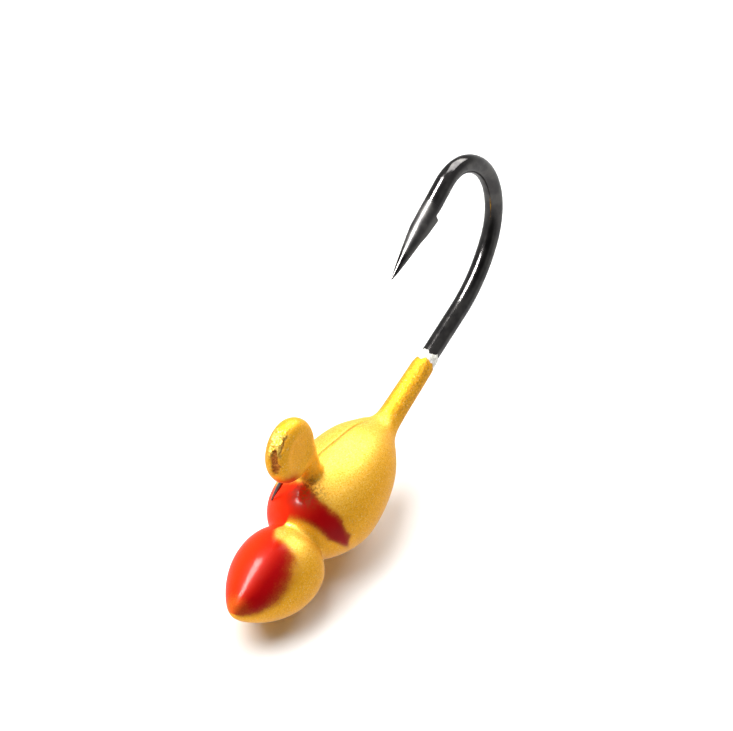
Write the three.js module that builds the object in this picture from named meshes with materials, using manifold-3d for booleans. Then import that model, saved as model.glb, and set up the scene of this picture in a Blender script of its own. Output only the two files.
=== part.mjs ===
// A painted ice-fishing jig head: a two-bulb tungsten body, slotted along its top,
// soldered over the shank of one bent steel hook, then primed and sprayed with paint.
//
// Units are millimetres. The origin is the centre of the line eye. +X runs from the
// nose to the hook's bend, +Z from the body up to the eye, and +Y is the left side.
// The hook lies in the plane Y = 0, apart from the tapered tag that closes its eye.

import * as THREE from 'three';
import { mergeVertices } from 'three/addons/utils/BufferGeometryUtils.js';
import Module from 'manifold-3d';

const wasm = await Module();
wasm.setup();

// ---- Driving dimensions ----------------------------------------------------------

// Clearances and coats
const GAP = 0.012; // left between neighbouring pieces
const PAINT = 0.16; // the gold coat on the body and on the eye
const RED_PAINT = 0.05; // the red coat over it
const PRIMER = 0.03;

// Hook wire
const WIRE_RADIUS = 0.41;
const WIRE_SIDES = 12;
const WIRE_STEP = 0.33; // length of wire between two rings of its surface
const EYE_RADIUS = 0.92; // centre of the eye to the middle of its wire
const EYE_SIDES = 30;
const STEM_LENGTH = 4.24; // straight wire from the eye down into the body
const JIG_BEND = { radius: 0.8, turn: 97.2 };
const SHANK_LENGTH = 10.91;
const THROAT = { radius: 6.17, turn: 32.6 };
const HEEL = { radius: 3.08, turn: 103.5 };
const CROWN = { radius: 1.96, turn: 50.9 };
const LIMB_LENGTH = 2.3; // round wire between the crown and the needle
const NEEDLE_LENGTH = 2.7;
const NEEDLE_OUTLINE = [[0, 1], [0.35, 0.72], [0.75, 0.35], [1, 0.07]]; // shares of length, radius
const OVERLAP = 0.05; // how far the needle starts inside the limb
const BARB = { back: 1.75, length: 0.6, height: 0.16, thickness: 0.16 };
const TAG_ROOT = [-0.83, 0.05, -0.4];
const TAG_END = [-0.64, 1.28, -2.95];
const TAG_RADIUS = 0.26; // at its root
const TAG_TIP = 0.06; // radius at its end

// Body: each outline point is [distance from the tail, radius], measured over the paint
const NOSE_BULB = [
    [13.03, 0], [12.93, 0.32], [12.7, 0.58], [12.03, 1.09], [10.95, 1.65],
    [9.8, 1.91], [8.95, 1.86], [8.4, 1.64], [8.0, 1.15], [7.75, 0],
];
const TAIL_BULB = [
    [8.5, 0], [8.15, 1.0], [7.8, 1.42], [7.4, 1.75], [6.6, 2.11], [5.3, 2.31],
    [3.75, 2.13], [2.2, 1.6], [1.2, 0.95], [0.6, 0.56], [0, 0.25],
];
const TAIL_LIFT = { height: 0.3, from: 5.2, to: 7.6 }; // the tail bulb's front bends up
const NOSE_HINGE = { fromTail: 8.2, drop: 0.45 }; // where the nose bulb's axis starts
const NOSE_TILT = THREE.MathUtils.degToRad(11.5); // and how far it points up
const BULB_STEPS = 14; // points along each bulb's outline
const BODY_SIDES = 32;
const TAIL_X = 6.64;
const BODY_Z = -4.56;
const CAP_RADIUS = 0.12; // the facet that closes the end of a bulb
const TAIL_CUT = 0.8; // the metal ends this far inside the painted tail
const SOLDER_CUT = 0.35; // and the solder this far inside the metal
const SLOT_HEIGHT = 3; // tall enough to open the top of the body
const SOLDER_HALF_WIDTH = 0.33;
const SOLDER_FLOOR = 0.1; // over the middle of the shank, so inside the wire
const SOLDER_FROM = 1.28; // where it starts, behind the stem

// Painted collar on the shank, behind the body
const COLLAR_LENGTH = 3.3;
const COLLAR_RADII = [0.58, 0.5];
const COLLAR_OVERLAP = 1.2; // length of the collar inside the body's tail
const PRIMER_FROM = -0.3; // where the primer on the shank begins, measured from the tail
const PRIMER_SHOWS = 0.22; // length of primer past the end of the gold coat

// Paint round the eye
const EYE_PAINT_RADIUS = 0.547; // radius of the painted wire
const EYE_FILM = 0.8; // thickness of the film of paint that closes the eye
const STEM_PAINT = [[1.15, -3.0], [0.85, -2.62], [0.64, -2.2], [0.58, -1.7], [0.56, -0.9]];
const STEM_PAINT_X = 0.84;

// Red coats: how far each reaches along and up the body
const HEAD_RED = { from: 8.55, to: 12.2, above: 0.62 };
const SADDLE_RED = { from: 6.35, to: 7.85, above: 0.1 };
const PATCH_HALF_WIDTH = 3; // wider than the body

// ---- Materials -------------------------------------------------------------------

const finishes = {
    hook: new THREE.MeshStandardMaterial({ color: 0x2b2b2f, roughness: 0.22, metalness: 1 }),
    tungsten: new THREE.MeshStandardMaterial({ color: 0x77777a, roughness: 0.6, metalness: 1 }),
    solder: new THREE.MeshStandardMaterial({ color: 0xb4b6b8, roughness: 0.4, metalness: 1 }),
    primer: new THREE.MeshStandardMaterial({ color: 0xd8d8d2, roughness: 0.7, metalness: 0.1 }),
    gold: new THREE.MeshStandardMaterial({ color: 0xf0bb33, roughness: 0.42, metalness: 0.35 }),
    red: new THREE.MeshStandardMaterial({ color: 0xd91e0a, roughness: 0.15, metalness: 0 }),
};

// ---- Solids ----------------------------------------------------------------------

// A closed three.js geometry as a solid that can be cut and joined
function solidOf(geometry) {
    const bare = geometry.clone();
    bare.deleteAttribute('normal');
    bare.deleteAttribute('uv');
    const merged = mergeVertices(bare, 1e-5);
    return new wasm.Manifold(new wasm.Mesh({
        numProp: 3,
        vertProperties: new Float32Array(merged.attributes.position.array),
        triVerts: new Uint32Array(merged.index.array),
    }));
}

// A solid as a named mesh
function meshOf(name, solid, material) {
    const cut = solid.getMesh();
    const geometry = new THREE.BufferGeometry();
    geometry.setAttribute('position', new THREE.BufferAttribute(cut.vertProperties, 3));
    geometry.setIndex(new THREE.BufferAttribute(cut.triVerts, 1));
    geometry.computeVertexNormals();
    const mesh = new THREE.Mesh(geometry, material);
    mesh.name = name;
    return mesh;
}

function box(xRange, yRange, zRange) {
    const size = [xRange, yRange, zRange].map(([low, high]) => high - low);
    const centre = [xRange, yRange, zRange].map(([low, high]) => (low + high) / 2);
    return solidOf(new THREE.BoxGeometry(...size).translate(...centre));
}

// A solid of revolution about the line through `foot` along `direction`.
// The outline is a list of [radius, distance along the line], starting and ending on it.
function revolved(outline, foot, direction, sides) {
    const geometry = new THREE.LatheGeometry(outline.map(([r, d]) => new THREE.Vector2(r, d)), sides);
    const turn = new THREE.Quaternion().setFromUnitVectors(new THREE.Vector3(0, 1, 0), direction);
    return solidOf(geometry.applyQuaternion(turn).translate(foot.x, foot.y, foot.z));
}

// ---- Hook ------------------------------------------------------------------------

// An arc in the plane Y = 0 that leaves `start` at `heading` (radians from +X towards +Z)
class WireArc extends THREE.Curve {
    constructor(start, heading, radius, turn) {
        super();
        this.heading = heading;
        this.radius = radius;
        this.turn = turn;
        this.centre = new THREE.Vector3(
            start.x - radius * Math.sin(heading), 0, start.z + radius * Math.cos(heading));
    }

    getPoint(t, target = new THREE.Vector3()) {
        const heading = this.heading + this.turn * t;
        return target.set(
            this.centre.x + this.radius * Math.sin(heading), 0,
            this.centre.z - this.radius * Math.cos(heading));
    }
}

// The wire's middle line from the eye to the needle, as straight runs and arcs.
// `marks` keeps where each run starts, and its heading.
function bendWire() {
    const runs = [
        { name: 'stem', length: STEM_LENGTH },
        { name: 'jigBend', ...JIG_BEND },
        { name: 'shank', length: SHANK_LENGTH },
        { name: 'throat', ...THROAT },
        { name: 'heel', ...HEEL },
        { name: 'crown', ...CROWN },
        { name: 'limb', length: LIMB_LENGTH },
    ];
    const path = new THREE.CurvePath();
    const marks = {};
    let point = new THREE.Vector3(EYE_RADIUS, 0, 0);
    let heading = -Math.PI / 2;
    for (const run of runs) {
        marks[run.name] = { point, heading };
        if (run.turn) {
            const turn = THREE.MathUtils.degToRad(run.turn);
            path.add(new WireArc(point, heading, run.radius, turn));
            heading += turn;
        } else {
            const step = along(heading).multiplyScalar(run.length);
            path.add(new THREE.LineCurve3(point, point.clone().add(step)));
        }
        point = path.curves.at(-1).getPoint(1);
    }
    marks.needle = { point, heading };
    return { path, marks };
}

function along(heading) {
    return new THREE.Vector3(Math.cos(heading), 0, Math.sin(heading));
}

function circleShape(radius) {
    const shape = new THREE.Shape();
    for (let side = 0; side < WIRE_SIDES; side += 1) {
        const angle = (side / WIRE_SIDES) * 2 * Math.PI;
        const x = radius * Math.cos(angle);
        const y = radius * Math.sin(angle);
        if (side === 0) shape.moveTo(x, y);
        else shape.lineTo(x, y);
    }
    shape.closePath();
    return shape;
}

// The bent wire at a given radius, with its eye: the hook's own, or the room it needs
function wireSolid(path, radius) {
    const tube = new THREE.ExtrudeGeometry(circleShape(radius), {
        steps: Math.round(path.getLength() / WIRE_STEP),
        extrudePath: path,
        bevelEnabled: false,
    });
    const eye = new THREE.TorusGeometry(EYE_RADIUS, radius, WIRE_SIDES, EYE_SIDES).rotateX(Math.PI / 2);
    return solidOf(tube).add(solidOf(eye));
}

// The tapered end of the wire: it leaves the front of the eye and ends low on the left side
function tagSolid(radius) {
    const root = new THREE.Vector3(...TAG_ROOT);
    const direction = new THREE.Vector3(...TAG_END).sub(root);
    const length = direction.length();
    const tip = radius - TAG_RADIUS + TAG_TIP;
    const outline = [[0, 0], [radius, 0], [tip, length], [0, length]];
    return revolved(outline, root, direction.normalize(), WIRE_SIDES);
}

function needleSolid({ point, heading }) {
    const taper = NEEDLE_OUTLINE.map(([length, radius]) => [radius * WIRE_RADIUS, length * NEEDLE_LENGTH]);
    const outline = [[0, -OVERLAP], [WIRE_RADIUS, -OVERLAP], ...taper, [0, NEEDLE_LENGTH]];
    return revolved(outline, point, along(heading), WIRE_SIDES);
}

// A barb cut up from the inner side of the wire, pointing back towards the crown
function barbSolid({ point, heading }) {
    const shape = new THREE.Shape();
    shape.moveTo(0, WIRE_RADIUS * 0.5);
    shape.lineTo(0, WIRE_RADIUS + BARB.height);
    shape.lineTo(BARB.length, WIRE_RADIUS * 0.5);
    shape.closePath();
    const geometry = new THREE.ExtrudeGeometry(shape, { depth: BARB.thickness, bevelEnabled: false });
    geometry.translate(BARB.back, 0, -BARB.thickness / 2);
    geometry.rotateX(Math.PI / 2);
    geometry.rotateY(-heading);
    return solidOf(geometry.translate(point.x, point.y, point.z));
}

// ---- Body ------------------------------------------------------------------------

// A bulb's outline as points (distance from the tail, radius), from its front to its back,
// moved inwards along its normals. A negative inset moves it outwards.
function insetOutline(bulb, inset) {
    const curve = new THREE.SplineCurve(bulb.map(([d, r]) => new THREE.Vector2(d, r)));
    const points = curve.getPoints(BULB_STEPS);
    return points.map((point, index) => {
        const before = points[Math.max(index - 1, 0)];
        const after = points[Math.min(index + 1, points.length - 1)];
        const tangent = after.clone().sub(before).normalize();
        return point.clone().addScaledVector(new THREE.Vector2(-tangent.y, tangent.x), inset);
    });
}

function bulbSolid(bulb, foot, direction, inset, cutFromTail) {
    const front = bulb[0][0] - inset;
    const back = Math.max(bulb.at(-1)[0] + inset, cutFromTail);
    const side = insetOutline(bulb, inset).filter(
        ({ x, y }) => y > CAP_RADIUS && x < front && x >= back);
    const outline = [[0, front], ...side.map(({ x, y }) => [y, x])];
    outline.push([0, outline.at(-1)[1]]);
    return revolved(outline.reverse(), foot, direction, BODY_SIDES);
}

function liftFront(vertex) {
    const { height, from, to } = TAIL_LIFT;
    vertex[2] += height * THREE.MathUtils.smoothstep(TAIL_X - vertex[0], from, to);
}

function bodySolid(inset, cutFromTail = 0) {
    const tail = bulbSolid(TAIL_BULB, at(0, BODY_Z), along(Math.PI), inset, cutFromTail);
    const noseAxis = along(Math.PI - NOSE_TILT);
    const hinge = at(NOSE_HINGE.fromTail, BODY_Z - NOSE_HINGE.drop);
    const noseFoot = hinge.addScaledVector(noseAxis, -NOSE_HINGE.fromTail);
    return bulbSolid(NOSE_BULB, noseFoot, noseAxis, inset, 0).add(tail.warp(liftFront));
}

// A point of the plane Y = 0, given its distance from the body's tail and its height
function at(fromTail, height) {
    return new THREE.Vector3(TAIL_X - fromTail, 0, height);
}

// The straight-sided slot over the shank, open at the top of the body. `floor` is the
// height of its floor over the middle of the shank.
function slotSolid({ shank }, halfWidth, startX, floor) {
    const geometry = new THREE.BoxGeometry(SHANK_LENGTH, 2 * halfWidth, SLOT_HEIGHT);
    geometry.translate(SHANK_LENGTH / 2, 0, SLOT_HEIGHT / 2 + floor);
    geometry.rotateY(-shank.heading);
    const back = startX - shank.point.x;
    return solidOf(geometry.translate(startX, 0, shank.point.z + back * Math.tan(shank.heading)));
}

function tungstenBody(wire) {
    const slot = slotSolid(wire.marks, WIRE_RADIUS + GAP, EYE_RADIUS - WIRE_RADIUS - GAP, 0);
    return bodySolid(PAINT + GAP, TAIL_CUT).subtract(slot).subtract(wire.room);
}

function solderFill(wire) {
    const slot = slotSolid(wire.marks, SOLDER_HALF_WIDTH, SOLDER_FROM, SOLDER_FLOOR);
    return bodySolid(PAINT + GAP, TAIL_CUT + SOLDER_CUT).intersect(slot).subtract(wire.room);
}

// ---- Coats -----------------------------------------------------------------------

// A sleeve's outside round the shank, measured along it from the body's tail
function sleeveSolid({ shank }, from, to, radii) {
    const foot = at(0, shank.point.z + (TAIL_X - shank.point.x) * Math.tan(shank.heading));
    const outline = [[0, from], [radii[0], from], [radii[1], to], [0, to]];
    return revolved(outline, foot, along(shank.heading), WIRE_SIDES * 2);
}

function primerSolid(wire, extra) {
    const radius = WIRE_RADIUS + GAP + PRIMER + extra;
    return sleeveSolid(wire.marks, PRIMER_FROM - extra, COLLAR_LENGTH + PRIMER_SHOWS, [radius, radius]);
}

function stemPaint(extra) {
    const outline = [[0, STEM_PAINT[0][1]], ...STEM_PAINT.map(([r, z]) => [r + extra, z])];
    outline.push([0, STEM_PAINT.at(-1)[1]]);
    const foot = new THREE.Vector3(STEM_PAINT_X, 0, 0);
    return revolved(outline, foot, new THREE.Vector3(0, 0, 1), 2 * WIRE_SIDES);
}

function eyePaint() {
    const ring = new THREE.TorusGeometry(EYE_RADIUS, EYE_PAINT_RADIUS, 14, EYE_SIDES).rotateX(Math.PI / 2);
    const film = new THREE.CylinderGeometry(EYE_RADIUS, EYE_RADIUS, EYE_FILM, EYE_SIDES);
    return solidOf(ring).add(solidOf(film));
}

function goldCoat(wire) {
    const collar = sleeveSolid(wire.marks, -COLLAR_OVERLAP, COLLAR_LENGTH, COLLAR_RADII);
    const outside = bodySolid(0).add(collar).add(eyePaint()).add(stemPaint(0));
    return outside
        .subtract(bodySolid(PAINT, TAIL_CUT - GAP))
        .subtract(wire.room)
        .subtract(primerSolid(wire, GAP));
}

// A patch of red over the gold, between two distances from the tail and above a height
function redCoat({ from, to, above }) {
    const across = [-PATCH_HALF_WIDTH, PATCH_HALF_WIDTH];
    const patch = box([TAIL_X - to, TAIL_X - from], across, [BODY_Z + above, 0]);
    return bodySolid(-GAP - RED_PAINT)
        .subtract(bodySolid(-GAP))
        .intersect(patch)
        .subtract(stemPaint(GAP))
        .subtract(tagSolid(TAG_RADIUS + GAP));
}

// ---- Assembly --------------------------------------------------------------------

function buildWire() {
    const { path, marks } = bendWire();
    const solid = wireSolid(path, WIRE_RADIUS)
        .add(needleSolid(marks.needle))
        .add(barbSolid(marks.limb))
        .add(tagSolid(TAG_RADIUS));
    const room = wireSolid(path, WIRE_RADIUS + GAP).add(tagSolid(TAG_RADIUS + GAP));
    return { solid, room, marks };
}

const wire = buildWire();
const jigHead = new THREE.Group();
jigHead.add(
    meshOf('hook', wire.solid, finishes.hook),
    meshOf('tungsten_body', tungstenBody(wire), finishes.tungsten),
    meshOf('solder_fill', solderFill(wire), finishes.solder),
    meshOf('primer_sleeve', primerSolid(wire, 0).subtract(wire.room), finishes.primer),
    meshOf('gold_coat', goldCoat(wire), finishes.gold),
    meshOf('red_coat_head', redCoat(HEAD_RED), finishes.red),
    meshOf('red_coat_saddle', redCoat(SADDLE_RED), finishes.red),
);

export default jigHead;
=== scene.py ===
"""Looks of the painted jig head: a fine painted skin, a forged black-nickel hook, primer,
tungsten and solder, on a pale floor in soft studio light.

Sizes below are in millimetres, in the row's frame: the origin is the centre of the line eye,
+X runs to the hook's bend, +Z up to the eye, +Y to the left. Meshes are made in metres.
"""

import math

import bpy
import numpy as np
from mathutils import Matrix, Vector


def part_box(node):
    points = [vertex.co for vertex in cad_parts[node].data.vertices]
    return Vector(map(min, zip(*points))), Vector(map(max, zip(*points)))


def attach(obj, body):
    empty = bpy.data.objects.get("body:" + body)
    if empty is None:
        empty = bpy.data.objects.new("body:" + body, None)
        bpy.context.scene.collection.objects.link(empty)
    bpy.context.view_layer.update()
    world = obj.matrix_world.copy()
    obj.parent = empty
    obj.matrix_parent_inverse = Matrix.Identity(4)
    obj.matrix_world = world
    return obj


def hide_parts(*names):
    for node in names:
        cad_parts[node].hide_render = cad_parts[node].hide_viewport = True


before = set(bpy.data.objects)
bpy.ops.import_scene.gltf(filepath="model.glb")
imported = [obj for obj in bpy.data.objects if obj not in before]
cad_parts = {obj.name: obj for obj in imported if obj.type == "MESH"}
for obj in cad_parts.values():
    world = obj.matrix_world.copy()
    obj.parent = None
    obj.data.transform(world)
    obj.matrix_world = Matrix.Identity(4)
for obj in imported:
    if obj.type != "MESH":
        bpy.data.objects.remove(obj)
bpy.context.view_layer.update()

MM = 0.001

# ---- Driving dimensions ----------------------------------------------------------

EYE_RADIUS = 0.92  # centre of the eye to the middle of its wire
EYE_PAINT = 0.547  # radius of the painted wire of the eye
EYE_FILM = 0.5  # half the thickness of the film that closes the eye
FILM_BLEND = 0.12
EYE_FOOT = (-0.1, -0.5, -2.35)  # where the eye meets the body, on the right
STEM_X, STEM_RADIUS = 0.88, 0.5
STEM_TOP, STEM_FOOT = -0.9, -2.6

TAIL_X = 6.64  # where the body's tail ends on the shank
BODY_Z = -4.56  # height of the body's axis
# Outlines over the paint: distance from the tail, radius
NOSE_BULB = [
    (13.03, 0.0), (12.7, 0.58), (12.03, 1.09), (10.95, 1.65), (9.8, 1.91),
    (8.95, 1.86), (8.45, 1.68), (7.95, 1.1), (7.75, 0.0),
]
TAIL_BULB = [
    (8.5, 0.0), (8.2, 0.9), (7.8, 1.42), (7.4, 1.75), (6.6, 2.11), (5.3, 2.31), (3.75, 2.13),
    (2.2, 1.60), (1.2, 0.95), (0.6, 0.56), (0.1, 0.3), (-0.3, 0.0),
]
TAIL_LIFT = 0.3  # the front of the tail bulb bends up by this
TAIL_LIFT_RUN = (5.2, 7.6)  # between these distances from the tail
NOSE_HINGE = (8.2, -0.45)  # distance from the tail, height over the body's axis
NOSE_TILT = math.radians(11.5)  # the nose bulb tips up by this about its hinge
NECK_BLEND = 0.3  # how softly the two bulbs meet
SKIN_BLEND = 0.3  # how softly the paint flows from one part into the next

# The slot in the body's back, filled and painted over. Its left lip stands proud of the
# bulb: distance from the tail, height. A crease runs along the lip.
LIP_RIDGE = [(-0.4, 0.0), (0.3, 0.1), (1.0, 0.2), (2.2, 0.15), (3.8, 0.05), (5.0, 0.0)]
LIP_ANGLE, LIP_SPREAD = 48, 38  # degrees from the top of the bulb to its left
CREASE_LINE = [(1.3, 0.35), (3.2, 0.13), (5.9, 0.2)]  # x, y
CREASE_FADES = ((1.3, 2.1), (4.2, 5.9))  # x where it starts and where it ends
CREASE_WIDTH, CREASE_DEPTH = 0.05, 0.09
CREASE_ABOVE = 0.5  # it lies only on the body's back, this far over the axis

SHANK_TILT = math.radians(7.2)  # the shank climbs towards the bend
SHANK_Z = -4.43  # height of the shank's middle at the body's tail
COLLAR_LENGTH = 3.3
COLLAR_RADII = (0.56, 0.49)
COLLAR_ROOT = 1.5  # length of the collar inside the body
COLLAR_BEVEL = 0.07  # how much thinner its paint is at the ragged end
PRIMER_SHOWS = 0.2  # past the collar
PRIMER_UNDER = 0.6  # under the collar
PRIMER_THICKNESS = 0.05

WIRE = 0.41  # radius of the hook wire
STEM_LENGTH = 4.24
BENDS = [  # radius, turn in degrees, straight wire after it
    (0.8, 97.2, 10.91),
    (6.17, 32.6, 0.0),
    (3.08, 103.5, 0.0),
    (1.96, 50.9, 5.0),
]
NEEDLE = 2.62  # length
NEEDLE_TIP, NEEDLE_POWER = 0.04, 0.78  # its tip as a share of the wire, how full it is
BARB_FROM_TIP, BARB_LENGTH = 3.5, 1.4
BARB_HEIGHT, BARB_NOTCH = 0.2, 0.07
NOTCH_LENGTH = 0.4
BARB_SHARPNESS = 4  # how narrow the barb is round the wire
BARB_LEAN = math.radians(28)  # the barb leans to the right of the hook's plane
# Along the wire, measured from the tip: where each starts, and where it ends
FORGED_RUN = ((0.0, 1.0), (11.0, 13.5))
FORGED_DEEPER, FORGED_THINNER = 0.03, 0.04
GROUND_RUN = ((0.9, 1.8), (3.6, 4.2))
LIMB_END = (4.6, 6.4)
LIMB_SWELL = 0.08  # the point's limb is this much wider across than the drawn wire
TAG_TIP = (-0.64, 1.28, -2.95)
TAG_SWEEP = (-0.05, -0.45, 0.85)  # from the tag's tip towards the eye
TAG_ANGLE = 205.0  # where the tag leaves the eye, in degrees round it

# The camera's directions as the jig lies on the floor
RIGHT = Vector((0.518, -0.830, -0.209)).normalized()
UP = Vector((0.679, 0.250, 0.691))
UP = (UP - RIGHT * UP.dot(RIGHT)).normalized()
BACK = RIGHT.cross(UP)  # towards the camera
FLOOR_UP = Vector((0.112, -0.177, 0.979)).normalized()

VOXEL = 0.055  # the cell that the skin's mesh is made on
MARGIN_LOW, MARGIN_HIGH = 0.6, 0.3  # the mesh's room round the CAD coat

# Broken paint on the eye, in degrees round its ring and round its wire
FLAKES_ROUND, FLAKES_ACROSS = ((92, 104), (142, 156)), ((-30, -18), (44, 52))
PIT_ROUND, PIT_ACROSS = ((138, 148), (172, 188)), ((-6, 4), (38, 46))
RIM_ROUND, RIM_ACROSS = ((98, 106), (140, 150)), ((34, 40), (46, 54))
EYE_REACH = 1.7  # the eye's paint lies within this of its centre
EYE_LOW = -0.9  # and over this height
PIT_DEPTH, FLAKE_DEPTH = 0.11, 0.01

# Red on the nose bulb. Distances are from the tail, angles are in degrees from the top of
# the bulb to its right.
HEAD_BACK, HEAD_BACK_SHIFT, HEAD_BACK_TURN = 8.5, 1.25, (-22, 8)
HEAD_BACK_FADE = (-0.45, 0.35)
HEAD_EDGE_AT, HEAD_EDGE_ANGLE, HEAD_EDGE_SLOPE = 9.9, 41, 22.7
HEAD_EDGE_FADE = 32
HEAD_TIP_FADE, HEAD_TIP_THIN = (12.3, 12.95), 0.35
HEAD_LEFT_FADE = (-125, -85)

# Red across the front of the tail bulb
SADDLE_TOP, SADDLE_TOP_SHIFT, SADDLE_TOP_TURN = 6.72, 0.4, (0, 35)
SADDLE_TOP_FADE = (-0.15, 0.4)
SADDLE_LOW, SADDLE_LOW_SHIFT, SADDLE_LOW_TURN = 9.2, 1.15, (-22, 2)
SADDLE_LOW_FADE = (-0.35, 0.1)
SADDLE_LOW_SLOPE, SADDLE_TAPER_SLOPE, SADDLE_TAPER_FROM = 0.004, 0.017, 84
SADDLE_LEFT_FADE = (-130, -85)

# Overspray on the underside of the eye
DUST_CENTRE, DUST_FADE, DUST_STRENGTH = (-1.0, -0.1, -1.1), (0.3, 1.15), 0.8


# ---- Mesh helpers ----------------------------------------------------------------

def new_object(name, vertices_mm, faces):
    """A smooth-shaded mesh object, from vertices in mm."""
    mesh = bpy.data.meshes.new(name)
    mesh.from_pydata((np.asarray(vertices_mm) * MM).tolist(), [], faces)
    mesh.validate()
    mesh.update()
    mesh.polygons.foreach_set("use_smooth", [True] * len(mesh.polygons))
    obj = bpy.data.objects.new(name, mesh)
    bpy.context.scene.collection.objects.link(obj)
    return obj


def add_attribute(obj, name, values):
    """One number for each vertex, for the material to read."""
    layer = obj.data.attributes.new(name, "FLOAT", "POINT")
    layer.data.foreach_set("value", np.asarray(values, dtype=np.float32))


def smoothstep(low, high, x):
    t = np.clip((x - low) / (high - low), 0.0, 1.0)
    return t * t * (3 - 2 * t)


def window(x, start, end):
    """1 between two soft edges, which are each given as a pair, and 0 outside them."""
    return smoothstep(*start, x) * (1 - smoothstep(*end, x))


def smooth_min(a, b, k):
    """The union of two fields, rounded over a width of k."""
    h = np.clip(0.5 + 0.5 * (b - a) / k, 0.0, 1.0)
    return b + (a - b) * h - k * h * (1 - h)


def value_noise(points, scale, seed):
    """Smooth noise from -1 to 1 at points in mm; `scale` is the size of its lumps in mm."""
    table = np.random.default_rng(seed).uniform(-1, 1, (32, 32, 32))
    q = points / scale + 1000.0
    cell = np.floor(q).astype(int)
    f = q - cell
    f = f * f * (3 - 2 * f)
    total = np.zeros(len(points))
    for dx in (0, 1):
        for dy in (0, 1):
            for dz in (0, 1):
                weight = (
                    np.where(dx, f[:, 0], 1 - f[:, 0])
                    * np.where(dy, f[:, 1], 1 - f[:, 1])
                    * np.where(dz, f[:, 2], 1 - f[:, 2])
                )
                corner = (cell + (dx, dy, dz)) % 32
                total += weight * table[corner[:, 0], corner[:, 1], corner[:, 2]]
    return total


def natural_spline(points):
    """A C2 curve through (x, y) points, as a function that gives its value and slope."""
    x, y = np.array(sorted(points)).T
    h = np.diff(x)
    n = len(x)
    matrix = np.eye(n)
    right = np.zeros(n)
    for i in range(1, n - 1):
        matrix[i, i - 1:i + 2] = h[i - 1], 2 * (h[i - 1] + h[i]), h[i]
        right[i] = 6 * ((y[i + 1] - y[i]) / h[i] - (y[i] - y[i - 1]) / h[i - 1])
    bend = np.linalg.solve(matrix, right)

    def curve(at):
        inside = np.clip(at, x[0], x[-1])
        i = np.clip(np.searchsorted(x, inside) - 1, 0, n - 2)
        a, b = x[i + 1] - inside, inside - x[i]
        value = (bend[i] * a**3 + bend[i + 1] * b**3) / (6 * h[i])
        value += (y[i] / h[i] - bend[i] * h[i] / 6) * a + (y[i + 1] / h[i] - bend[i + 1] * h[i] / 6) * b
        slope = (bend[i + 1] * b**2 - bend[i] * a**2) / (2 * h[i])
        slope += (y[i + 1] - y[i]) / h[i] - (bend[i + 1] - bend[i]) * h[i] / 6
        return value + slope * (at - inside), slope

    return curve


def surface_nets(field, low, high, cell):
    """The surface where field(points) is zero, as vertices and quads."""
    counts = np.ceil((np.array(high) - low) / cell).astype(int) + 1
    axes = [low[a] + cell * np.arange(counts[a]) for a in range(3)]
    values = np.empty(counts)
    for i, x in enumerate(axes[0]):
        y, z = np.meshgrid(axes[1], axes[2], indexing="ij")
        points = np.stack([np.full(y.size, x), y.ravel(), z.ravel()], axis=1)
        values[i] = field(points).reshape(y.shape)
    inside = values < 0

    total = np.zeros(counts - 1)
    for dx in (0, 1):
        for dy in (0, 1):
            for dz in (0, 1):
                total += inside[dx:counts[0] - 1 + dx, dy:counts[1] - 1 + dy, dz:counts[2] - 1 + dz]
    active = (total > 0) & (total < 8)
    number = np.full(counts - 1, -1)
    number[active] = np.arange(active.sum())
    cells = np.argwhere(active)

    place = np.zeros((len(cells), 3))
    crossings = np.zeros(len(cells))
    for axis in range(3):
        others = [a for a in range(3) if a != axis]
        for u in (0, 1):
            for v in (0, 1):
                start = np.zeros(3, dtype=int)
                start[others[0]], start[others[1]] = u, v
                end = start.copy()
                end[axis] = 1
                first = values[tuple((cells + start).T)]
                second = values[tuple((cells + end).T)]
                hit = (first < 0) != (second < 0)
                t = np.where(hit, first / np.where(hit, first - second, 1), 0)
                place += hit[:, None] * (start + t[:, None] * (end - start))
                crossings += hit
    vertices = np.array(low) + cell * (cells + place / crossings[:, None])

    quads = []
    for axis in range(3):
        b, c = (axis + 1) % 3, (axis + 2) % 3
        ahead = np.zeros(3, dtype=int)
        ahead[axis] = 1
        size = counts - ahead
        first = inside[tuple(slice(0, size[a]) for a in range(3))]
        second = inside[tuple(slice(ahead[a], size[a] + ahead[a]) for a in range(3))]
        edges = np.argwhere(first != second)
        back_b, back_c = np.eye(3, dtype=int)[b], np.eye(3, dtype=int)[c]
        corners = [edges, edges - back_b, edges - back_b - back_c, edges - back_c]
        quad = np.stack([number[tuple(corner.T)] for corner in corners], axis=1)
        leaving = first[tuple(edges.T)]
        quads.append(np.where(leaving[:, None], quad, quad[:, ::-1]))
    return vertices, np.concatenate(quads)


def tube_faces(rings, sides):
    """A closed tube's faces. Its vertices come ring by ring, and the ends are capped."""
    faces = []
    for i in range(rings - 1):
        here, there = i * sides, (i + 1) * sides
        for k in range(sides):
            after = (k + 1) % sides
            faces.append((here + after, here + k, there + k, there + after))
    first = tuple(range(sides))
    last = tuple((rings - 1) * sides + k for k in range(sides))
    return [*faces, first, last[::-1]]


def gradient(field, points, step=0.004):
    parts = []
    for axis in range(3):
        move = np.zeros(3)
        move[axis] = step
        parts.append((field(points + move) - field(points - move)) / (2 * step))
    return np.stack(parts, axis=1)


def settle(field, points, rounds=3):
    """Moves points onto the surface where field is zero."""
    for _ in range(rounds):
        slope = gradient(field, points)
        points = points - slope * (field(points) / np.maximum((slope**2).sum(1), 0.05))[:, None]
    return points


# ---- Painted skin ----------------------------------------------------------------

nose_curve = natural_spline([(d, r * r) for d, r in NOSE_BULB])
tail_curve = natural_spline([(d, r * r) for d, r in TAIL_BULB])


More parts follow.
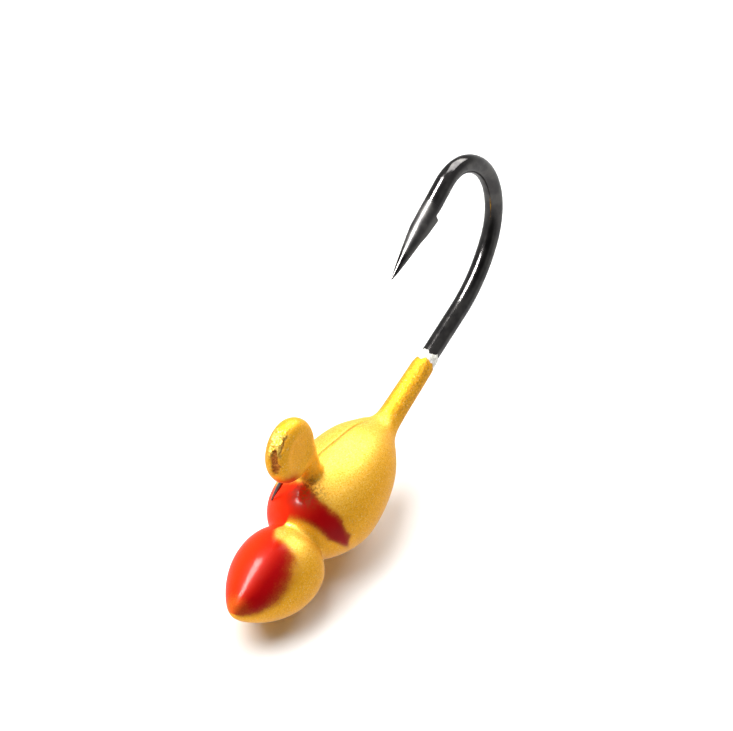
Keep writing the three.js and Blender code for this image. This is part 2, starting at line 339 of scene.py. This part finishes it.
def bulb(distance, side, up, curve):
    """A round body's field; `curve` gives the square of its radius along its axis."""
    square, slope = curve(distance)
    spread = side**2 + up**2
    return (spread - square) / np.sqrt(4 * spread + slope**2 + 0.05)


def nose_place(points):
    """Distance from the tail along the nose bulb's own axis, and height over that axis."""
    ahead = TAIL_X - NOSE_HINGE[0] - points[:, 0]
    rise = points[:, 2] - BODY_Z - NOSE_HINGE[1]
    along = ahead * math.cos(NOSE_TILT) + rise * math.sin(NOSE_TILT)
    return NOSE_HINGE[0] + along, rise * math.cos(NOSE_TILT) - ahead * math.sin(NOSE_TILT)


def lip_ridge(distance, side, up):
    """How far the left lip of the slot stands proud of the bulb."""
    around = np.degrees(np.arctan2(side, up))
    height = np.interp(distance, *zip(*LIP_RIDGE))
    return height * np.exp(-((around - LIP_ANGLE) / LIP_SPREAD)**2)


def body(points):
    nose_distance, nose_up = nose_place(points)
    nose = bulb(nose_distance, points[:, 1], nose_up, nose_curve)
    distance = TAIL_X - points[:, 0]
    up = points[:, 2] - BODY_Z - TAIL_LIFT * smoothstep(*TAIL_LIFT_RUN, distance)
    tail = bulb(distance, points[:, 1], up, tail_curve) - lip_ridge(distance, points[:, 1], up)
    return smooth_min(nose, tail, NECK_BLEND)


def collar_place(points):
    """Distance along the shank from the body's tail, height over the shank's middle, and
    distance from that middle."""
    dx, dz = points[:, 0] - TAIL_X, points[:, 2] - SHANK_Z
    along = dx * math.cos(SHANK_TILT) + dz * math.sin(SHANK_TILT)
    up = dz * math.cos(SHANK_TILT) - dx * math.sin(SHANK_TILT)
    return along, up, np.hypot(up, points[:, 1])


def collar(points):
    along, up, out = collar_place(points)
    radius = np.interp(along, [0, COLLAR_LENGTH], COLLAR_RADII)
    angle = np.arctan2(up, points[:, 1])
    ragged = 0.05 * np.sin(3 * angle + 1) + 0.04 * np.sin(7 * angle) + 0.02 * np.sin(13 * angle + 2)
    end = COLLAR_LENGTH + ragged
    radius = radius - COLLAR_BEVEL * smoothstep(-0.5, 0.0, along - end)
    return np.maximum(np.maximum(out - radius, along - end), -COLLAR_ROOT - along)


def eye(points):
    out = np.hypot(points[:, 0], points[:, 2])
    ring = np.hypot(out - EYE_RADIUS, points[:, 1]) - EYE_PAINT
    film = np.maximum(np.abs(points[:, 1]) - EYE_FILM, out - EYE_RADIUS)
    return smooth_min(ring, film, FILM_BLEND)


def stem(points):
    z = np.clip(points[:, 2], STEM_FOOT, STEM_TOP)
    out = np.sqrt((points[:, 0] - STEM_X)**2 + points[:, 1]**2 + (points[:, 2] - z)**2)
    return out - STEM_RADIUS


def slot_crease(points):
    """The crease along the left lip of the slot: 1 at its bottom, 0 away from it."""
    run = window(points[:, 0], *CREASE_FADES) * (points[:, 2] > BODY_Z + CREASE_ABOVE)
    lip = np.interp(points[:, 0], *zip(*CREASE_LINE))
    return run * np.exp(-((points[:, 1] - lip) / CREASE_WIDTH)**2)


def skin_smooth(points):
    """The skin's field before its paint is chipped."""
    whole = body(points) + CREASE_DEPTH * slot_crease(points)
    whole = smooth_min(whole, collar(points), SKIN_BLEND)
    top = smooth_min(eye(points), stem(points), SKIN_BLEND)
    return smooth_min(whole, top, SKIN_BLEND)


def eye_angles(points):
    """Degrees round the eye's ring, and round its wire: 0 outwards, 90 to the right."""
    around = np.degrees(np.arctan2(points[:, 2], points[:, 0]))
    out = np.hypot(points[:, 0], points[:, 2]) - EYE_RADIUS
    section = np.degrees(np.arctan2(-points[:, 1], out))
    return around, section


def chip_masks(points):
    """Where the paint on the eye is crumbled (flakes) and where it has broken away (pit)."""
    around, section = eye_angles(points)
    around = np.where(around < 0, around + 360, around)
    near = (np.hypot(points[:, 0], points[:, 2]) < EYE_REACH) & (points[:, 2] > EYE_LOW)
    wobble = 12 * value_noise(points, 0.16, 3) + 7 * value_noise(points, 0.07, 4)
    around, section = around + wobble, section + wobble
    flakes = window(around, *FLAKES_ROUND) * window(section, *FLAKES_ACROSS)
    pit = window(around, *PIT_ROUND) * window(section, *PIT_ACROSS)
    rim = window(around, *RIM_ROUND) * window(section, *RIM_ACROSS)
    return near * flakes, near * np.maximum(pit, 0.7 * rim)


def skin(points):
    """The skin's field, with the broken paint on the eye."""
    field = skin_smooth(points)
    near = np.abs(field) < 0.4
    close = points[near]
    flakes, pit = chip_masks(close)
    rough = 0.05 * value_noise(close, 0.11, 5) + 0.03 * value_noise(close, 0.06, 6)
    field[near] += pit * (PIT_DEPTH + rough) - flakes * (FLAKE_DEPTH + rough)
    return field


def right_of_top(side, up):
    """Degrees round a bulb from its top towards its right side."""
    return np.degrees(np.arctan2(-side, up))


def head_red(points, soft):
    """The red on the nose bulb, which ends in a slanting edge down its right side."""
    distance, up = nose_place(points)
    around = right_of_top(points[:, 1], up)
    edge = HEAD_EDGE_ANGLE + HEAD_EDGE_SLOPE * (distance - HEAD_EDGE_AT) + 4 * soft
    back = HEAD_BACK + HEAD_BACK_SHIFT * smoothstep(*HEAD_BACK_TURN, around)
    head = smoothstep(*(back + fade for fade in HEAD_BACK_FADE), distance)
    head = head * (1 - HEAD_TIP_THIN * smoothstep(*HEAD_TIP_FADE, distance))
    head = head * (1 - smoothstep(edge - HEAD_EDGE_FADE, edge + HEAD_EDGE_FADE, around))
    return head * smoothstep(*HEAD_LEFT_FADE, around)


def saddle_red(points, soft):
    """The red across the front of the tail bulb."""
    distance = TAIL_X - points[:, 0]
    around = right_of_top(points[:, 1], points[:, 2] - BODY_Z - TAIL_LIFT)
    low_edge = SADDLE_LOW - SADDLE_LOW_SHIFT * smoothstep(*SADDLE_LOW_TURN, around)
    low_edge = low_edge - SADDLE_LOW_SLOPE * np.maximum(around, 0)
    low_edge = low_edge - SADDLE_TAPER_SLOPE * np.maximum(around - SADDLE_TAPER_FROM, 0)
    top_edge = SADDLE_TOP - SADDLE_TOP_SHIFT * (1 - smoothstep(*SADDLE_TOP_TURN, around))
    top = smoothstep(*(top_edge + fade for fade in SADDLE_TOP_FADE), distance + 0.08 * soft)
    low = smoothstep(*(low_edge + fade for fade in SADDLE_LOW_FADE), distance)
    return top * (1 - low) * smoothstep(*SADDLE_LEFT_FADE, around + 5 * soft)


def red_mask(points):
    """How much red lies over the gold, from 0 to 1, with the soft edges of a spray."""
    soft = value_noise(points, 0.5, 11) + 0.6 * value_noise(points, 0.15, 12)
    on_body = 1 - smoothstep(0.15, 0.5, body(points) + 0.02 * soft)
    coats = np.clip(head_red(points, soft) + saddle_red(points, soft), 0, 1) * on_body
    away = np.linalg.norm(points - DUST_CENTRE, axis=1) + 0.1 * soft
    return np.maximum(coats, DUST_STRENGTH * (1 - smoothstep(*DUST_FADE, away)))


def red_painted_shade(points):
    """Painted shade on the red: bright orange-red on the left, darker crimson down the right side."""
    around = right_of_top(points[:, 1], points[:, 2] - BODY_Z - TAIL_LIFT)
    return smoothstep(-35, 60, around)


def make_skin():
    """The painted skin, with masks for its material."""
    lo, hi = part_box("gold_coat")
    low = np.array(lo) / MM - MARGIN_LOW
    high = np.array(hi) / MM + MARGIN_HIGH
    vertices, quads = surface_nets(skin, low, high, VOXEL)
    vertices = settle(skin, vertices)
    piece = new_object("painted_skin", vertices, quads.tolist())
    add_attribute(piece, "red", red_mask(vertices))
    # Painted shade: the red goes darker from the left round to the right side
    add_attribute(piece, "painted_red_shade", red_painted_shade(vertices))
    add_attribute(piece, "crease", slot_crease(vertices))
    flakes, pit = chip_masks(vertices)
    add_attribute(piece, "flakes", flakes)
    add_attribute(piece, "pit", pit)
    along, _, out = collar_place(vertices)
    on_collar = smoothstep(-0.3, 0.4, along) * (out < 1.0)
    add_attribute(piece, "collar", on_collar)
    foot = np.linalg.norm(vertices - EYE_FOOT, axis=1)
    add_attribute(piece, "foot", 1 - smoothstep(0.2, 1.1, foot))
    normals = gradient(skin_smooth, vertices)
    normals /= np.linalg.norm(normals, axis=1)[:, None]
    on_body = 1 - smoothstep(0.0, 0.3, body(vertices))
    # Painted highlight: paler gold where the body faces up
    add_attribute(piece, "painted_top_highlight", on_body * smoothstep(0.45, 1.0, normals @ np.array(FLOOR_UP)))
    return piece


# ---- Hook ------------------------------------------------------------------------

def heading_vector(angle):
    return np.array([math.cos(angle), 0.0, math.sin(angle)])


def wire_line(step=0.06):
    """The wire's middle line from the tag's tip to the needle's tip, evenly spaced."""
    turn = math.radians(TAG_ANGLE)
    start = EYE_RADIUS * np.array([math.cos(turn), 0, math.sin(turn)])
    tangent = np.array([math.sin(turn), 0, -math.cos(turn)])
    tip = np.array(TAG_TIP)
    controls = [tip, tip + TAG_SWEEP, start - 0.8 * tangent, start]
    points = []
    for t in np.linspace(0, 1, 60):
        weights = [(1 - t)**3, 3 * t * (1 - t)**2, 3 * t * t * (1 - t), t**3]
        points.append(sum(w * c for w, c in zip(weights, controls)))
    for angle in np.linspace(turn, 0, 90)[1:]:
        points.append(EYE_RADIUS * np.array([math.cos(angle), 0, math.sin(angle)]))

    place = np.array([EYE_RADIUS, 0.0, 0.0])
    heading = -math.pi / 2

    def straight(length):
        nonlocal place
        count = max(int(length / step), 1)
        for _ in range(count):
            place = place + length / count * heading_vector(heading)
            points.append(place)

    straight(STEM_LENGTH)
    for radius, degrees, after in BENDS:
        count = max(int(radius * math.radians(degrees) / step), 8)
        bit = math.radians(degrees) / count
        for _ in range(count):
            place = place + 2 * radius * math.sin(bit / 2) * heading_vector(heading + bit / 2)
            heading += bit
            points.append(place)
        if after:
            straight(after)
    line = np.array(points)
    gaps = np.linalg.norm(np.diff(line, axis=0), axis=1)
    run = np.concatenate([[0], np.cumsum(gaps)])
    even = np.linspace(0, run[-1], int(run[-1] / step))
    return np.stack([np.interp(even, run, line[:, a]) for a in range(3)], axis=1), even


def make_hook(sides=28):
    """The whole wire as one tube, tapered at the tag and the needle, with its barb."""
    line, run = wire_line()
    tangent = np.gradient(line, axis=0)
    tangent /= np.linalg.norm(tangent, axis=1)[:, None]
    # A frame carried along the wire: `side` stays as near +Y as it can
    side = np.array([0.0, 1.0, 0.0]) - tangent * tangent[:, 1:2]
    side /= np.linalg.norm(side, axis=1)[:, None]
    inner = np.cross(tangent, side)  # towards the inside of the hook's bend

    from_tip = run[-1] - run
    needle = np.clip(from_tip / NEEDLE, 0, 1)
    taper = NEEDLE_TIP + (1 - NEEDLE_TIP) * needle**NEEDLE_POWER
    tag = 0.1 + 0.16 * smoothstep(0.0, 1.4, run) + 0.74 * smoothstep(2.2, 3.6, run)
    thick = WIRE * np.minimum(taper, tag)
    # The bend is forged: deeper in its plane, thinner across it
    forged = window(from_tip, *FORGED_RUN)
    deep = thick * (1 + FORGED_DEEPER * forged)
    limb = 1 - smoothstep(*LIMB_END, from_tip)
    across = thick * (1 - FORGED_THINNER * forged + LIMB_SWELL * limb)

    # The barb rises evenly from the tip's side, then drops into the notch behind it
    barb = from_tip - BARB_FROM_TIP
    rise = BARB_HEIGHT * np.clip(1 + barb / BARB_LENGTH, 0, 1)
    dip = -BARB_NOTCH * (1 - smoothstep(0.0, NOTCH_LENGTH, barb))
    raised = np.where(barb < 0, rise, dip)
    barb_way = inner * math.cos(BARB_LEAN) - side * math.sin(BARB_LEAN)

    rings = []
    for k in range(sides):
        angle = 2 * math.pi * k / sides
        c, s = math.cos(angle), math.sin(angle)
        lift = raised * max(math.cos(angle + BARB_LEAN), 0)**BARB_SHARPNESS
        ring = line + inner * (c * deep)[:, None] + side * (s * across)[:, None]
        rings.append(ring + barb_way * lift[:, None])
    vertices = np.stack(rings, axis=1).reshape(-1, 3)
    piece = new_object("forged_hook", vertices, tube_faces(len(line), sides))
    add_attribute(piece, "ground", np.repeat(window(from_tip, *GROUND_RUN), sides))
    return piece


def make_primer(sides=72, rings=14):
    """The primer that shows past the end of the gold coat, with a ragged edge."""
    origin = np.array([TAIL_X, 0, SHANK_Z])
    axis = heading_vector(SHANK_TILT)
    up = np.array([-axis[2], 0, axis[0]])
    vertices = []
    for i in range(rings):
        for k in range(sides):
            angle = 2 * math.pi * k / sides
            ragged = 0.07 * math.sin(2 * angle + 0.5) + 0.05 * math.sin(5 * angle)
            ragged += 0.04 * math.sin(11 * angle + 1)
            t = i / (rings - 1)
            along = COLLAR_LENGTH - PRIMER_UNDER + (PRIMER_UNDER + PRIMER_SHOWS + ragged) * t
            radius = WIRE + 0.005 + PRIMER_THICKNESS * math.sqrt(max(1 - t**6, 0))
            radius += 0.008 * math.sin(9 * angle + 20 * t) * (1 - t)
            out = np.array([0, math.cos(angle), 0]) + up * math.sin(angle)
            vertices.append(origin + axis * along + radius * out)
    faces = [face[::-1] for face in tube_faces(rings, sides)]
    return new_object("primer_rim", vertices, faces)


# ---- Materials -------------------------------------------------------------------

class Nodes:
    """Short calls for building one material's nodes."""

    def __init__(self, name):
        self.material = bpy.data.materials.new(name)
        self.material.use_nodes = True
        self.tree = self.material.node_tree
        self.shader = self.tree.nodes["Principled BSDF"]
        self.coords = self.add("ShaderNodeTexCoord").outputs["Object"]

    def add(self, kind):
        return self.tree.nodes.new(kind)

    def link(self, source, target):
        if isinstance(source, (int, float)):
            target.default_value = source
        elif isinstance(source, tuple):
            target.default_value = (*source, 1.0) if len(source) == 3 else source
        else:
            self.tree.links.new(source, target)

    def noise(self, lump_mm, detail=2.0, rough=0.5):
        node = self.add("ShaderNodeTexNoise")
        self.link(self.coords, node.inputs["Vector"])
        node.inputs["Scale"].default_value = 1 / (lump_mm * MM)
        node.inputs["Detail"].default_value = detail
        node.inputs["Roughness"].default_value = rough
        return node.outputs["Fac"]

    def attribute(self, name):
        node = self.add("ShaderNodeAttribute")
        node.attribute_name = name
        return node.outputs["Fac"]

    def math(self, operation, a, b=0.0, clamp=False):
        node = self.add("ShaderNodeMath")
        node.operation = operation
        node.use_clamp = clamp
        self.link(a, node.inputs[0])
        self.link(b, node.inputs[1])
        return node.outputs[0]

    def ramp(self, value, low, high):
        """0 below low, 1 above high, smooth between."""
        node = self.add("ShaderNodeMapRange")
        node.interpolation_type = "SMOOTHSTEP"
        self.link(value, node.inputs["Value"])
        node.inputs["From Min"].default_value = low
        node.inputs["From Max"].default_value = high
        return node.outputs["Result"]

    def mix(self, factor, a, b):
        node = self.add("ShaderNodeMix")
        node.data_type = "RGBA"
        self.link(factor, node.inputs[0])
        self.link(a, node.inputs[6])
        self.link(b, node.inputs[7])
        return node.outputs[2]

    def bump(self, height, depth_mm, under=None):
        node = self.add("ShaderNodeBump")
        node.inputs["Distance"].default_value = depth_mm * MM
        node.inputs["Strength"].default_value = 1.0
        self.link(height, node.inputs["Height"])
        if under is not None:
            self.link(under, node.inputs["Normal"])
        return node.outputs["Normal"]

    def shade(self, **values):
        """Sets or links the shader's inputs, and gives the material back."""
        for name, value in values.items():
            self.link(value, self.shader.inputs[name.replace("_", " ")])
        return self.material


# Linear colours: where the paint is dull or low, and where it is bright or high
GOLD = (0.82, 0.35, 0.011), (1.0, 0.50, 0.030)
# Paler gold for the painted highlight on what faces up
PAINTED_HIGHLIGHT_GOLD = (1.0, 0.72, 0.15)
SPARKLE = (1.0, 0.85, 0.35)
CREASE = (0.24, 0.115, 0.02)
SPECKS = (0.26, 0.055, 0.01)
CRUMBS = (0.60, 0.30, 0.03), (1.0, 0.72, 0.17)
# Dark reddish brown of painted shade in the pit on the eye
PIT_SHADE = (0.20, 0.03, 0.008), (0.50, 0.15, 0.025)
# On the left, and down the right in painted shade
THIN_RED = (0.80, 0.20, 0.02), (0.40, 0.075, 0.01)
FULL_RED = (1.0, 0.035, 0.004), (0.30, 0.0015, 0.003)


def gold_colour(n, grain):
    """Gold base coat: grain, a painted highlight of paler gold on what faces up, sparkle, and darker
    along the crease.
    """
    gold = n.mix(n.ramp(grain, 0.3, 0.7), *GOLD)
    # Painted highlight: paler gold where the body faces up, broken up by the grain
    painted_top_highlight = n.math("MULTIPLY", n.attribute("painted_top_highlight"), n.ramp(grain, 0.2, 0.75))
    gold = n.mix(n.math("MULTIPLY", painted_top_highlight, 0.7), gold, PAINTED_HIGHLIGHT_GOLD)
    sparkle = n.ramp(n.noise(0.055, 0.0), 0.66, 0.76)
    gold = n.mix(n.math("MULTIPLY", sparkle, 0.35), gold, SPARKLE)
    # Darker along the slot's crease
    return n.mix(n.math("MULTIPLY", n.attribute("crease"), 0.75), gold, CREASE)


def add_red(n, colour, spray):
    """The red thins out through orange on the left, and through brown down the right where its shade is
    painted.
    """
    # Painted shade: each red mixes from its left colour to its darker right one
    painted_red_shade = n.math("ADD", n.attribute("painted_red_shade"), n.math("MULTIPLY", n.noise(1.6, 1.0), 0.15), clamp=True)
    colour = n.mix(n.ramp(spray, 0.0, 0.65), colour, n.mix(painted_red_shade, *THIN_RED))
    return n.mix(n.ramp(spray, 0.35, 1.0), colour, n.mix(painted_red_shade, *FULL_RED))


def add_specks_chips_and_pit_shade(n, colour, coarse, collar_mask, flakes, pit):
    """Dark specks on the collar and at the eye's foot, crumbs of broken paint on the eye, and painted
    shade in its pit.
    """
    # Dark specks, strongest at the eye's foot and fainter on the collar
    speck_zone = n.math("MAXIMUM", n.attribute("foot"), n.math("MULTIPLY", collar_mask, 0.45))
    specks = n.math("MULTIPLY", n.ramp(coarse, 0.4, 0.62), speck_zone)
    colour = n.mix(n.math("MULTIPLY", specks, 0.75), colour, SPECKS)
    crumbs = n.mix(n.ramp(n.noise(0.09, 2.0, 0.7), 0.4, 0.6), *CRUMBS)
    colour = n.mix(n.math("MULTIPLY", flakes, 0.8), colour, crumbs)
    # Painted shade: the pit in the eye's paint is coloured dark reddish brown
    broken_and_shade = n.mix(n.ramp(n.noise(0.1, 2.0, 0.7), 0.4, 0.65), *PIT_SHADE)
    return n.mix(n.math("MULTIPLY", pit, 0.9), colour, broken_and_shade)


def paint_material():
    """All the paint in one material; the skin's attributes say which coat shows where."""
    n = Nodes("pearl_paint")
    flakes = n.attribute("flakes")
    pit = n.attribute("pit")
    collar_mask = n.attribute("collar")
    grain = n.noise(0.07, 2.0, 0.6)
    coarse = n.noise(0.13, 3.0, 0.65)

    # The spray's edge breaks up with the grain
    uneven = n.math("MULTIPLY", n.math("SUBTRACT", grain, 0.5), 0.45)
    spray = n.math("ADD", n.attribute("red"), uneven, clamp=True)
    colour = add_red(n, gold_colour(n, grain), spray)
    colour = add_specks_chips_and_pit_shade(n, colour, coarse, collar_mask, flakes, pit)

    broken_and_shade = n.math("MAXIMUM", flakes, pit)
    whole = n.math("SUBTRACT", 1.0, broken_and_shade)
    lumps = n.math("MULTIPLY", coarse, n.math("MAXIMUM", collar_mask, broken_and_shade))
    normal = n.bump(lumps, 0.05, n.bump(grain, 0.008))
    glossy_red = n.math("MULTIPLY", spray, whole)
    roughness = n.math("SUBTRACT", 0.44, n.math("MULTIPLY", glossy_red, 0.16))
    bare_gold = n.math("SUBTRACT", 1.0, n.math("MAXIMUM", spray, pit))
    metallic = n.math("MULTIPLY", bare_gold, 0.5)
    coat = n.math("MULTIPLY", whole, 0.15)
    n.shade(Base_Color=colour, Roughness=roughness, Metallic=metallic, Normal=normal)
    return n.shade(Specular_IOR_Level=0.03, Coat_Weight=coat, Coat_Roughness=0.13)


def hook_material():
    """Black nickel over drawn wire. The point is ground, so it is duller."""
    n = Nodes("black_nickel")
    drawn = n.noise(0.5, 2.0)
    colour = n.mix(n.ramp(drawn, 0.35, 0.65), (0.09, 0.086, 0.086), (0.14, 0.134, 0.128))
    normal = n.bump(n.noise(0.12, 2.0), 0.0012)
    roughness = n.math("ADD", 0.10, n.math("MULTIPLY", drawn, 0.12))
    roughness = n.math("ADD", roughness, n.math("MULTIPLY", n.attribute("ground"), 0.24))
    return n.shade(Base_Color=colour, Metallic=1.0, Roughness=roughness, Normal=normal)


def primer_material():
    n = Nodes("pale_primer")
    lumps = n.noise(0.08, 3.0, 0.6)
    colour = n.mix(n.ramp(lumps, 0.35, 0.65), (0.62, 0.60, 0.52), (0.92, 0.91, 0.86))
    return n.shade(Base_Color=colour, Roughness=0.5, Metallic=0.25, Normal=n.bump(lumps, 0.02))


def tungsten_material():
    n = Nodes("sintered_tungsten")
    grain = n.noise(0.05, 3.0, 0.6)
    colour = n.mix(grain, (0.16, 0.16, 0.17), (0.36, 0.36, 0.37))
    return n.shade(Base_Color=colour, Metallic=1.0, Roughness=0.55, Normal=n.bump(grain, 0.01))


def solder_material():
    n = Nodes("tin_solder")
    ripples = n.noise(0.3, 2.0)
    colour = n.mix(ripples, (0.55, 0.55, 0.56), (0.78, 0.79, 0.80))
    return n.shade(Base_Color=colour, Metallic=1.0, Roughness=0.3, Normal=n.bump(ripples, 0.02))


def set_material(obj, material):
    obj.data.materials.clear()
    obj.data.materials.append(material)


# ---- Camera, floor and light -----------------------------------------------------

CAMERA_DISTANCE = 1000.0
VIEW_WIDTH = 31.81  # what the camera sees across the middle of the jig
SENSOR_WIDTH = 36.0
# The tail of the body, from the middle of the view, and the depth of the middle of the jig
TAIL_RIGHT, TAIL_DOWN, MIDDLE_DEPTH = 1.02, 2.15, 1.6
TAIL_RISE = 0.22  # that point is this far over the body's axis

FLOOR_REACH = 600.0
FLOOR_GAP = 0.02  # left between the floor and the paint

# Strength of the room's light: from above, and from below as the jig mirrors it
ROOM_ABOVE, ROOM_BELOW = 0.26, 0.7
LIGHT_DISTANCE = 250.0


def make_camera():
    tail = Vector((TAIL_X, 0, BODY_Z + TAIL_RISE))
    centre = tail - RIGHT * TAIL_RIGHT + UP * TAIL_DOWN + BACK * MIDDLE_DEPTH
    data = bpy.data.cameras.new("camera")
    data.sensor_width = SENSOR_WIDTH
    data.lens = SENSOR_WIDTH * CAMERA_DISTANCE / VIEW_WIDTH
    data.clip_start, data.clip_end = 0.01, 10
    camera = bpy.data.objects.new("camera", data)
    turn = Matrix((RIGHT, UP, BACK)).transposed().to_4x4()
    camera.matrix_world = Matrix.Translation((centre + BACK * CAMERA_DISTANCE) * MM) @ turn
    bpy.context.scene.collection.objects.link(camera)
    bpy.context.scene.camera = camera


def make_floor(skin_piece):
    """A pale floor that the painted body rests on."""
    lowest = min(FLOOR_UP.dot(vertex.co) for vertex in skin_piece.data.vertices)
    turn = FLOOR_UP.to_track_quat("Z", "Y").to_matrix().to_4x4()
    reach = FLOOR_REACH * MM
    mesh = bpy.data.meshes.new("floor")
    corners = [(-reach, -reach, 0), (reach, -reach, 0), (reach, reach, 0), (-reach, reach, 0)]
    mesh.from_pydata(corners, [], [(0, 1, 2, 3)])
    floor = bpy.data.objects.new("floor", mesh)
    floor.matrix_world = Matrix.Translation(FLOOR_UP * (lowest - FLOOR_GAP * MM)) @ turn
    bpy.context.scene.collection.objects.link(floor)
    n = Nodes("white_floor")
    n.shade(Base_Color=(0.92, 0.915, 0.905), Roughness=0.9, Specular_IOR_Level=0.0)
    set_material(floor, n.material)
    floor.visible_glossy = False  # the paint and the wire mirror the dim room, not the floor


def add_light(name, direction, long_side, size, power, diffuse=True, glossy=True):
    """An area light, LIGHT_DISTANCE away towards `direction`. `direction` and `long_side` are
    given as right, up and back as the camera stands, and `size` in mm."""
    way = (RIGHT * direction[0] + UP * direction[1] + BACK * direction[2]).normalized()
    side = RIGHT * long_side[0] + UP * long_side[1] + BACK * long_side[2]
    side = (side - way * side.dot(way)).normalized()
    data = bpy.data.lights.new(name, "AREA")
    data.shape = "RECTANGLE"
    data.size, data.size_y = size[0] * MM, size[1] * MM
    data.energy = power
    light = bpy.data.objects.new(name, data)
    turn = Matrix((side, way.cross(side), way)).transposed().to_4x4()
    light.matrix_world = Matrix.Translation(way * LIGHT_DISTANCE * MM) @ turn
    light.visible_diffuse, light.visible_glossy = diffuse, glossy
    bpy.context.scene.collection.objects.link(light)


def make_world():
    world = bpy.data.worlds.new("studio")
    bpy.context.scene.world = world
    world.use_nodes = True
    tree = world.node_tree
    background = tree.nodes["Background"]
    background.inputs["Color"].default_value = (1, 1, 1, 1)
    # White where the camera looks past the floor. As a light it is dim, brighter below
    # where the floor is, and darkest behind the camera.
    direction = tree.nodes.new("ShaderNodeTexCoord").outputs["Generated"]

    def towards(axis, low, high, at_low, at_high):
        dot = tree.nodes.new("ShaderNodeVectorMath")
        dot.operation = "DOT_PRODUCT"
        tree.links.new(direction, dot.inputs[0])
        dot.inputs[1].default_value = axis
        level = tree.nodes.new("ShaderNodeMapRange")
        level.interpolation_type = "SMOOTHSTEP"
        tree.links.new(dot.outputs["Value"], level.inputs["Value"])
        level.inputs["From Min"].default_value = low
        level.inputs["From Max"].default_value = high
        level.inputs["To Min"].default_value = at_low
        level.inputs["To Max"].default_value = at_high
        return level.outputs["Result"]

    room = tree.nodes.new("ShaderNodeMath")
    room.operation = "MULTIPLY"
    tree.links.new(towards(FLOOR_UP, -0.4, 0.1, ROOM_BELOW, ROOM_ABOVE), room.inputs[0])
    tree.links.new(towards(BACK, 0.6, 0.95, 1.0, 0.2), room.inputs[1])
    seen = tree.nodes.new("ShaderNodeMapRange")
    tree.links.new(tree.nodes.new("ShaderNodeLightPath").outputs["Is Camera Ray"], seen.inputs["Value"])
    tree.links.new(room.outputs[0], seen.inputs["To Min"])
    tree.links.new(seen.outputs["Result"], background.inputs["Strength"])


def make_lights():
    add_light("strip", (-0.48, 0.66, 0.55), (0.35, 0.53, -0.44), (170, 75), 2.2, diffuse=False)
    add_light("overhead", (0.33, 0.93, -0.02), (1, 0, 0), (230, 190), 0.65)
    add_light("key", (-0.45, 0.70, 0.55), (1, 0, 0), (250, 250), 1.2, glossy=False)
    bpy.context.scene.view_settings.view_transform = "Standard"


# ---- Assembly --------------------------------------------------------------------

make_camera()

painted_skin = make_skin()
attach(painted_skin, "root")
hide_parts("gold_coat", "red_coat_head", "red_coat_saddle")
set_material(painted_skin, paint_material())

hook = make_hook()
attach(hook, "root")
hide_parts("hook")
set_material(hook, hook_material())

primer = make_primer()
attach(primer, "root")
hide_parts("primer_sleeve")
set_material(primer, primer_material())

set_material(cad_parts["tungsten_body"], tungsten_material())
set_material(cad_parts["solder_fill"], solder_material())

make_floor(painted_skin)
make_world()
make_lights()
